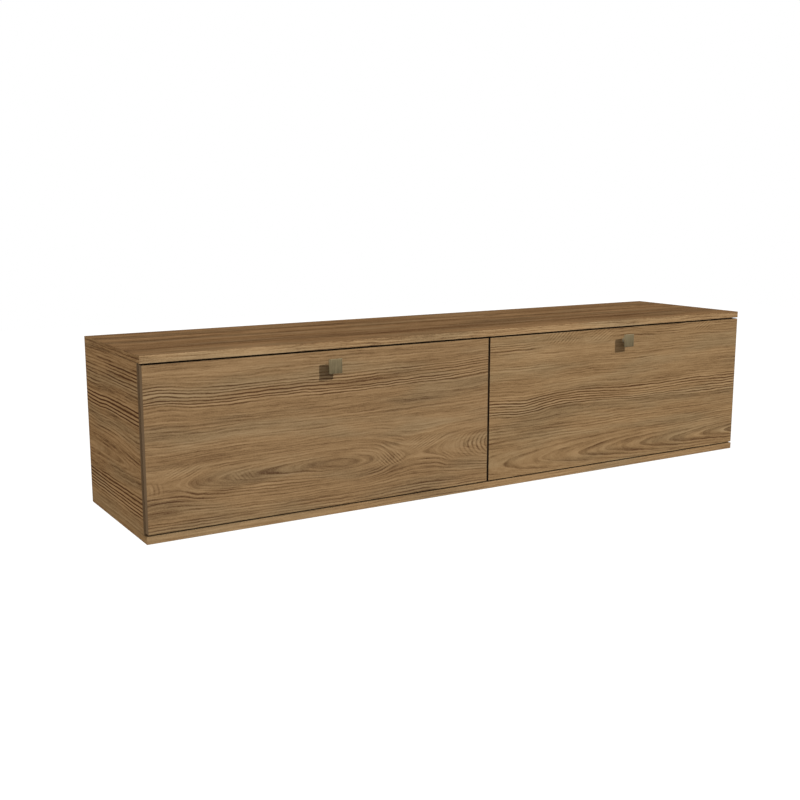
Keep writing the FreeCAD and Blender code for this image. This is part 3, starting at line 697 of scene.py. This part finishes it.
def wood_print(name, figure, grain, edge_faces=False, face_tints=(), joints=(), shade_along=()):
    """Printed oak on a board: growth rings, streaks, clouds and a matt foil.

    edge_faces puts a plain band on the board's edges, with painted shade on a door's edges that face a
    gap, and face_tints gives the faces along an axis a tint of their own. The last two arguments hold
    the place and half width of lines of painted shade in the gaps, up the cabinet and along it.
    """
    colours = bpy.context.scene.cabinet_colours
    figure = FIGURES[figure]
    finish = new_finish(name)
    place = finish.place()
    along, across = board_axes(finish, place, grain)
    bent = bent_grain(finish, along, across, figure["waves"], figure["bends"])
    rings, near, close = grain_rings(finish, along, bent, figure["hearts"])
    line = growth_lines(finish, figure, rings, near, close)
    line = with_ring_ends(finish, line, figure["tips"], along, across, bent)
    band = dark_bands(finish, figure["bands"], along, bent)
    uneven = finish.smooth(finish.clouds(UNEVEN, along, rings), *UNEVEN_RANGE)
    strength = band * finish.between(uneven, *BAND_LINES) + finish.between(uneven, *PLAIN_LINES)

    broad = finish.clouds(BROAD, along, bent)
    vein = finish.clouds(VEIN, along, rings, across / VEIN_CHANGE)
    streak = finish.clouds(STREAK, along, rings, across / STREAK_CHANGE)
    fibre = finish.clouds(FIBRE, along, rings)
    pore = finish.clouds(PORE, along, across)
    streaks = (vein * VEIN.weight + streak * STREAK.weight) * (1.0 - close * STREAK_FADE)
    texture = broad * BROAD.weight + streaks + fibre * FIBRE.weight + pore * PORE.weight
    tone = (texture - line * strength - band * BAND_SHADE) * figure["depth"] + figure["tone"]
    for patch in figure["patches"]:
        *where, shade = patch
        tone = tone + hill(finish, along, bent, *where) * shade

    plain = wood_colour(finish, colours, tone, along, across)
    colour = finish.tinted(plain, figure["tint"])
    if edge_faces:
        broad_side = (1, 0, 0) if grain == "side" else (0, 1, 0)
        band_colour = edge_band_with_shade(finish, colours, grain, along, streak)
        colour = finish.mix(finish.facing(broad_side), band_colour, colour)
    for axis, tint in face_tints:
        colour = finish.mix(finish.facing(axis), colour, finish.tinted(plain, tint))
    # Painted shade in the gaps, on the faces at a door's foot and head, under the top board and between the
    # doors
    if joints or shade_along:
        shade = painted_shade_lines(surface_rise(finish, place), joints) + painted_shade_lines(along, shade_along)
        colour = finish.mix(shade.math("MINIMUM", 1.0), colour, colours.gap_shade)
    roughness = FOIL_ROUGHNESS - fibre * FOIL_CHANGE
    relief = fibre - line * LINE_RELIEF
    return finish.surface(colour, roughness, bump=relief, bump_depth=FOIL_RELIEF, Specular_IOR_Level=0.0)


def bronze_finish(name, base):
    """Dark bronze, brushed upright, with painted light: lighter towards the top of the plate and on its
    side faces.
    """
    brush_width, brush_length, cloud_scale = 1.6, 40.0, 0.12
    # Painted light: the colour grows lighter towards the plate's top, and the side faces are lightened
    painted_light_rise, brush_weight, cloud_weight, ground = 0.7, 1.6, 0.4, 0.15
    dark_share, light_shares, side_painted_light = 0.58, (1.34, 1.38, 1.44), (1.5, 1.5, 1.5)
    low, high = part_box("left_knob_plate")
    finish = new_finish(name)
    place = finish.place()
    strokes = finish.stretched(place, (brush_width, brush_width, brush_length))
    brush = finish.noise(strokes, detail=3.0, roughness=0.6)
    cloud = finish.noise(place, cloud_scale)
    rise = (finish.dot(place, (0, 0, 1)) - low.z * MM) / ((high.z - low.z) * MM)
    tone = rise * painted_light_rise + (brush - 0.5) * brush_weight + (cloud - 0.5) * cloud_weight + ground
    light = [channel * share for channel, share in zip(base, light_shares)]
    colour = finish.mix(tone, shaded(base, dark_share), light)
    colour = finish.mix(finish.facing((1, 0, 0)), colour, finish.tinted(colour, side_painted_light))
    return finish.surface(
        colour, finish.between(brush, 0.36, 0.56), bump=brush, bump_depth=0.00002,
        Metallic=0.45, Specular_IOR_Level=0.1)


def metal_finish(name, base, brushed=0.15, roughness=0.32):
    """Plated or cast metal with light scratches and clouding."""
    scratch_length, scratch_width, cloud_scale = 6.0, 2 / 3, 0.15
    contrast, roughness_spread = 1.6, 0.1
    finish = new_finish(name)
    place = finish.place()
    cloud = finish.noise(place, cloud_scale, detail=3.0)
    strokes = finish.stretched(place, (scratch_length, scratch_width, scratch_width))
    scratch = finish.noise(strokes, detail=3.0, roughness=0.6)
    colour = finish.mix((cloud + scratch) / 2.0, shaded(base, 1.0 - brushed * contrast), base)
    dull = finish.between(scratch, roughness - roughness_spread, roughness + roughness_spread)
    return finish.surface(colour, dull, bump=scratch, bump_depth=0.00001, Metallic=1.0)


def hardboard_finish(base):
    """Pressed fibre with a fine mottle."""
    fleck_length, fleck_height = 9.0, 5.0
    fibre_weight, fleck_weight, cloud_weight, ground = 0.4, 0.7, 0.5, -0.30
    dark_share, light_share = 0.52, 1.50
    finish = new_finish("hardboard")
    place = finish.place()
    fibres = finish.noise(place, scale=0.9, detail=4.0, roughness=0.7)
    along = finish.dot(place, (1, 0, 0)) / fleck_length
    up = finish.dot(place, (0, 0, 1)) / fleck_height
    flecks = finish.noise(finish.vector(along, up), detail=4.0, roughness=0.65, distortion=0.8)
    cloud = finish.noise(place, scale=0.012, detail=3.0)
    tone = fibres * fibre_weight + flecks * fleck_weight + cloud * cloud_weight + ground
    colour = finish.mix(tone, shaded(base, dark_share), shaded(base, light_share))
    return finish.surface(
        colour, finish.between(fibres, 0.75, 0.60), bump=fibres, bump_depth=0.0001,
        Specular_IOR_Level=0.25)


def beech_finish(base):
    """Turned dowels with short pores."""
    dark_share = 0.75
    finish = new_finish("dowel_beech")
    pores = finish.noise(finish.place(), scale=1.2, detail=3.0, roughness=0.6)
    colour = finish.mix(pores, shaded(base, dark_share), base)
    return finish.surface(colour, finish.between(pores, 0.6, 0.8), bump=pores, bump_depth=0.00005)


def moulded_finish(name, base, grain_scale, roughness):
    """Moulded plastic, ferrite or soft pad with a fine surface grain."""
    dark_share, roughness_spread = 0.8, 0.15
    finish = new_finish(name)
    grain = finish.noise(finish.place(), grain_scale, detail=3.0, roughness=0.6)
    colour = finish.mix(grain, shaded(base, dark_share), base)
    dull = finish.between(grain, roughness, roughness + roughness_spread)
    return finish.surface(colour, dull, bump=grain, bump_depth=0.00003)


# Cosine past which a face counts as facing the front, and the angles past which edges stay sharp
FLAT_COSINE = 0.99
KNOB_SHARP = 35.0
PAD_SHARP = 50.0

# Dished front of a knob: rims set in from its edge, and its depth as a share of the bevel
DISH_RIMS = 2
DISH_SHARE = 1 / 6

# Sides of the round pieces, and how many more steps a pad's dome has than the other bevels
STEM_SIDES = 48
PAD_SIDES = 40
PAD_EXTRA_STEPS = 2


def dress(node, material):
    """Give a node of the frame its material."""
    piece = frame["nodes"][node]
    piece.data.materials.clear()
    piece.data.materials.append(material)


def start_piece(name, add, **settings):
    """Add a primitive with nothing else selected, and name it."""
    bpy.ops.object.select_all(action="DESELECT")
    add(**settings)
    piece = bpy.context.object
    piece.name = name
    bpy.ops.object.transform_apply(location=True, rotation=True, scale=True)
    return piece


def pick_faces(piece, test):
    """In edit mode, select only the faces whose middle and normal pass the test."""
    bpy.ops.mesh.select_mode(type="FACE")
    bpy.ops.mesh.select_all(action="DESELECT")
    mesh = bmesh.from_edit_mesh(piece.data)
    for face in mesh.faces:
        face.select_set(test(face.calc_center_median(), face.normal))
    bmesh.update_edit_mesh(piece.data)


def pick_edges(piece, test):
    """In edit mode, select only the edges whose ends pass the test."""
    bpy.ops.mesh.select_mode(type="EDGE")
    bpy.ops.mesh.select_all(action="DESELECT")
    mesh = bmesh.from_edit_mesh(piece.data)
    for edge in mesh.edges:
        edge.select_set(all(test(vertex.co) for vertex in edge.verts))
    bmesh.update_edit_mesh(piece.data)


def copied(piece, name, offset):
    """Copy a piece with its own mesh, set off from the first one."""
    bpy.ops.object.select_all(action="DESELECT")
    piece.select_set(True)
    bpy.context.view_layer.objects.active = piece
    bpy.ops.object.duplicate(linked=False)
    made = bpy.context.object
    made.name = name
    bpy.ops.transform.translate(value=offset)
    bpy.ops.object.transform_apply(location=True, rotation=True, scale=True)
    return made


def joined(pieces, name):
    """Join pieces into the first one."""
    bpy.ops.object.select_all(action="DESELECT")
    for piece in pieces:
        piece.select_set(True)
    bpy.context.view_layer.objects.active = pieces[0]
    bpy.ops.object.join()
    pieces[0].name = name
    return pieces[0]


def smoothed(piece, degrees):
    """Shade smooth across all but the sharp edges."""
    bpy.ops.object.select_all(action="DESELECT")
    piece.select_set(True)
    bpy.context.view_layer.objects.active = piece
    bpy.ops.object.shade_smooth_by_angle(angle=math.radians(degrees))
    return piece


def model_knob_plate(side, sizes):
    """Square plate with rounded edges and a faintly dished front."""
    low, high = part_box(f"{side}_knob_plate")
    piece = start_piece(
        f"{side}_knob_face", bpy.ops.mesh.primitive_cube_add, size=1.0,
        location=(low + high) / 2, scale=high - low)
    bpy.ops.object.mode_set(mode="EDIT")
    bpy.ops.mesh.select_all(action="SELECT")
    bpy.ops.mesh.bevel(offset=sizes.knob_bevel, segments=sizes.bevel_steps, affect="EDGES")
    front_y = low.y + sizes.knob_bevel / 2
    pick_faces(piece, lambda middle, normal: middle.y < front_y and normal.y < -FLAT_COSINE)
    for _ in range(DISH_RIMS):
        bpy.ops.mesh.inset(thickness=sizes.knob_bevel)
    bpy.ops.transform.translate(value=(0.0, sizes.knob_bevel * DISH_SHARE, 0.0))
    bpy.ops.object.mode_set(mode="OBJECT")
    return piece


def model_knob_stem(side, sizes):
    """Round stem with a collar at the door and another at the plate."""
    low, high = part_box(f"{side}_knob_stem")
    middle = (low + high) / 2
    radius = (high.x - low.x) / 2
    flare = (radius + sizes.collar_reach) / radius
    steps = [
        (sizes.collar_height, 1.0), (0.0, 1 / flare),
        (high.y - low.y - 2 * sizes.collar_height, 1.0), (0.0, flare), (sizes.collar_height, 1.0),
    ]
    piece = start_piece(
        f"{side}_knob_post", bpy.ops.mesh.primitive_circle_add, vertices=STEM_SIDES,
        radius=radius * flare, fill_type="NGON", location=(middle.x, high.y, middle.z),
        rotation=(math.pi / 2, 0.0, 0.0))
    bpy.ops.object.mode_set(mode="EDIT")
    bpy.ops.mesh.select_all(action="SELECT")
    reach = high.y
    for run, growth in steps:
        reach -= run
        bpy.ops.mesh.extrude_region_move(TRANSFORM_OT_translate={"value": (0.0, -run, 0.0)})
        bpy.ops.transform.resize(
            value=(growth, 1.0, growth), center_override=(middle.x, reach, middle.z))
    bpy.ops.mesh.select_all(action="SELECT")
    bpy.ops.mesh.normals_make_consistent(inside=False)
    bpy.ops.object.mode_set(mode="OBJECT")
    return piece


def model_pad(low, high, sizes):
    """Domed pad at the left end of a door's box of pads."""
    radius = (high.z - low.z) / 2
    middle = (low + high) / 2
    piece = start_piece(
        "door_pad", bpy.ops.mesh.primitive_cylinder_add, vertices=PAD_SIDES, radius=radius,
        depth=high.y - low.y, location=(low.x + radius, middle.y, middle.z),
        rotation=(math.pi / 2, 0.0, 0.0))
    bpy.ops.object.mode_set(mode="EDIT")
    pick_edges(piece, lambda place: place.y > middle.y)
    bpy.ops.mesh.bevel(offset=sizes.pad_bevel, segments=sizes.bevel_steps + PAD_EXTRA_STEPS, affect="EDGES")
    bpy.ops.object.mode_set(mode="OBJECT")
    return piece


class CABINET_OT_boards(bpy.types.Operator):
    """Print the wood figure on the boards and doors"""

    bl_idname = "cabinet.boards"
    bl_label = "Boards and doors"

    def execute(self, context):
        for side in SIDES:
            door = f"{side}_door"
            low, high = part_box(door)
            # Painted shade on the faces at each door's foot and head, which lie in the gaps
            joints = ((rise_of(low.z), DOOR_FOOT_SHADE), (rise_of(high.z), DOOR_HEAD_SHADE))
            print_name = f"wood_print_{door}"
            dress(door, wood_print(
                print_name, door, "door", edge_faces=True, joints=joints, shade_along=MIDDLE_GAP_SHADE))
        end_tint = ((1, 0, 0), FIGURES["left_side"]["tint"])
        top_tints = (((0, 1, 0), TOP_FRONT_TINT), end_tint)
        top_shade = (rise_of(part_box("top_panel")[0].z), TOP_GAP_SHADE)
        dress("top_panel", wood_print(
            "wood_print_top", "top", "top", face_tints=top_tints, joints=(top_shade,)))
        bottom_tints = (((0, 1, 0), BOTTOM_FRONT_TINT), end_tint)
        dress("bottom_panel", wood_print(
            "wood_print_bottom", "plain", "bottom", face_tints=bottom_tints))
        upright = wood_print("wood_print_sides", "left_side", "side", edge_faces=True)
        for node in ("left_side_panel", "right_side_panel", "divider_panel"):
            dress(node, upright)
        rail = wood_print("wood_print_rails", "plain", "door")
        for side in SIDES:
            for level in ("lower", "upper"):
                dress(f"{side}_{level}_rail", rail)
        dress("back_panel", hardboard_finish(context.scene.cabinet_colours.hardboard))
        return {"FINISHED"}


class CABINET_OT_knobs(bpy.types.Operator):
    """Model the square knobs and their stems"""

    bl_idname = "cabinet.knobs"
    bl_label = "Knobs"

    def execute(self, context):
        sizes = context.scene.cabinet_sizes
        bronze = bronze_finish("bronze", context.scene.cabinet_colours.bronze)
        # The stems' lighter bronze is painted light
        stem_bronze = bronze_finish("stem_bronze", context.scene.cabinet_colours.stem)
        first, second = SIDES
        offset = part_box(f"{second}_knob_plate")[0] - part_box(f"{first}_knob_plate")[0]
        pieces = (
            (smoothed(model_knob_plate(first, sizes), KNOB_SHARP), "knob_plate", bronze),
            (smoothed(model_knob_stem(first, sizes), KNOB_SHARP), "knob_stem", stem_bronze),
        )
        for piece, node, material in pieces:
            piece.data.materials.append(material)
            copy = copied(piece, piece.name.replace(first, second), offset)
            for made, side in ((piece, first), (copy, second)):
                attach(made, f"{side}_flap")
                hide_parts(f"{side}_{node}")
        return {"FINISHED"}


class CABINET_OT_pads(bpy.types.Operator):
    """Model the soft pads on the backs of the doors"""

    bl_idname = "cabinet.pads"
    bl_label = "Door pads"

    def execute(self, context):
        first, second = SIDES
        low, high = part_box(f"{first}_door_bumpers")
        pad = model_pad(low, high, context.scene.cabinet_sizes)
        colour = context.scene.cabinet_colours.pad
        pad.data.materials.append(moulded_finish("soft_pad", colour, grain_scale=0.6, roughness=0.35))
        other = copied(pad, "door_pad_copy", (high.x - low.x - (high.z - low.z), 0.0, 0.0))
        pair = smoothed(joined([pad, other], f"{first}_door_pads"), PAD_SHARP)
        copy = copied(pair, f"{second}_door_pads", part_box(f"{second}_door_bumpers")[0] - low)
        for made, side in ((pair, first), (copy, second)):
            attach(made, f"{side}_flap")
            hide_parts(f"{side}_door_bumpers")
        return {"FINISHED"}


class CABINET_OT_fittings(bpy.types.Operator):
    """Finish the hinges, stays, catches, cams, dowels, nails and screws"""

    bl_idname = "cabinet.fittings"
    bl_label = "Fittings"

    def execute(self, context):
        colours = context.scene.cabinet_colours
        finishes = {
            "plated_steel": metal_finish("plated_steel", colours.steel),
            "cam_zinc": metal_finish("cam_zinc", colours.zinc, brushed=0.25, roughness=0.45),
            "dowel_beech": beech_finish(colours.beech),
            "brown_plastic": moulded_finish(
                "brown_plastic", colours.plastic, grain_scale=0.8, roughness=0.45),
            "magnet": moulded_finish("magnet", colours.ferrite, grain_scale=0.5, roughness=0.5),
        }
        slots = {row["node"]: row["material_slot"] for row in frame["record"]["subparts"]}
        for node, slot in slots.items():
            if slot in finishes:
                dress(node, finishes[slot])
        return {"FINISHED"}


class CABINET_OT_studio(bpy.types.Operator):
    """Set the pale floor, the lights, the world and the camera"""

    bl_idname = "cabinet.studio"
    bl_label = "Studio"

    def execute(self, context):
        lay_floor(context.scene)
        light_world(context.scene)
        for sun in SUNS:
            add_sun(*sun)
        aim_camera(context.scene)
        context.scene.view_settings.view_transform = "Standard"
        return {"FINISHED"}


def seen_directly(finish):
    """1 for rays from the camera, and for glossy and see-through ones, else 0."""
    camera, glossy, see_through = (
        finish.node("ShaderNodeLightPath", output=name)
        for name in ("Is Camera Ray", "Is Glossy Ray", "Is Transmission Ray"))
    return camera.math("MAXIMUM", glossy).math("MAXIMUM", see_through)


def lay_floor(scene):
    """Pale floor far below the cabinet, white to the camera and soft where shaded."""
    sizes, colours = scene.cabinet_sizes, scene.cabinet_colours
    floor = start_piece(
        "floor", bpy.ops.mesh.primitive_plane_add, size=sizes.floor_size,
        location=(0.0, 0.0, BOTTOM_Z - sizes.floor_drop))
    finish = new_finish("pale_floor")
    plain = finish.node("ShaderNodeBsdfDiffuse", None, {"Color": colour_of(colours.floor)})
    glow_values = {"Color": colour_of(WHITE), "Strength": seen_directly(finish) * FLOOR_SEEN}
    glow = finish.node("ShaderNodeEmission", None, glow_values)
    both = finish.node("ShaderNodeAddShader", None, {0: plain, 1: glow})
    floor.data.materials.append(finish.close(both))


def light_world(scene):
    """Even soft light from all round, seen as white."""
    scene.world = bpy.data.worlds.new("studio")
    finish = Finish(scene.world)
    strength = finish.between(seen_directly(finish), WORLD_LIGHT, WORLD_SEEN)
    values = {"Color": colour_of(WHITE), "Strength": strength}
    glow = finish.node("ShaderNodeBackground", None, values)
    finish.close(glow, "ShaderNodeOutputWorld")


def add_sun(name, towards, strength, width_degrees):
    """Sun lamp that shines from a direction."""
    bpy.ops.object.select_all(action="DESELECT")
    bpy.ops.object.light_add(type="SUN", location=towards)
    lamp = bpy.context.object
    lamp.name = name
    lamp.data.energy = strength
    lamp.data.angle = math.radians(width_degrees)
    lamp.rotation_euler = Vector(towards).to_track_quat("Z", "Y").to_euler()


def aim_camera(scene):
    """Camera at the photograph's viewpoint."""
    bpy.ops.object.select_all(action="DESELECT")
    bpy.ops.object.camera_add(
        location=CAMERA_PLACE,
        rotation=(math.radians(90.0 - CAMERA_DOWN), 0.0, math.radians(CAMERA_TURN)))
    camera = bpy.context.object
    camera.data.sensor_width = SENSOR_WIDTH
    camera.data.lens = SENSOR_WIDTH * FOCAL_PIXELS / FRAME_PIXELS
    camera.data.clip_end = SIGHT_LIMIT
    scene.camera = camera


class CABINET_PT_panel(bpy.types.Panel):
    """Lists the steps that dress the cabinet"""

    bl_idname = "CABINET_PT_panel"
    bl_label = "Cabinet"
    bl_space_type = "VIEW_3D"
    bl_region_type = "UI"
    bl_category = "Cabinet"

    def draw(self, context):
        for operator in OPERATORS:
            self.layout.operator(operator.bl_idname)
        for group in (context.scene.cabinet_sizes, context.scene.cabinet_colours):
            for name in group.__annotations__:
                self.layout.prop(group, name)


OPERATORS = (CABINET_OT_boards, CABINET_OT_knobs, CABINET_OT_pads, CABINET_OT_fittings, CABINET_OT_studio)
CLASSES = (CabinetColours, CabinetSizes, *OPERATORS, CABINET_PT_panel)


def register():
    for item in CLASSES:
        bpy.utils.register_class(item)
    bpy.types.Scene.cabinet_colours = PointerProperty(type=CabinetColours)
    bpy.types.Scene.cabinet_sizes = PointerProperty(type=CabinetSizes)


def unregister():
    del bpy.types.Scene.cabinet_sizes
    del bpy.types.Scene.cabinet_colours
    for item in reversed(CLASSES):
        bpy.utils.unregister_class(item)


def main():
    """Dress the frame, one step after another."""
    register()
    bpy.ops.cabinet.boards()
    bpy.ops.cabinet.knobs()
    bpy.ops.cabinet.pads()
    bpy.ops.cabinet.fittings()
    bpy.ops.cabinet.studio()


if __name__ == "__main__":
    main()
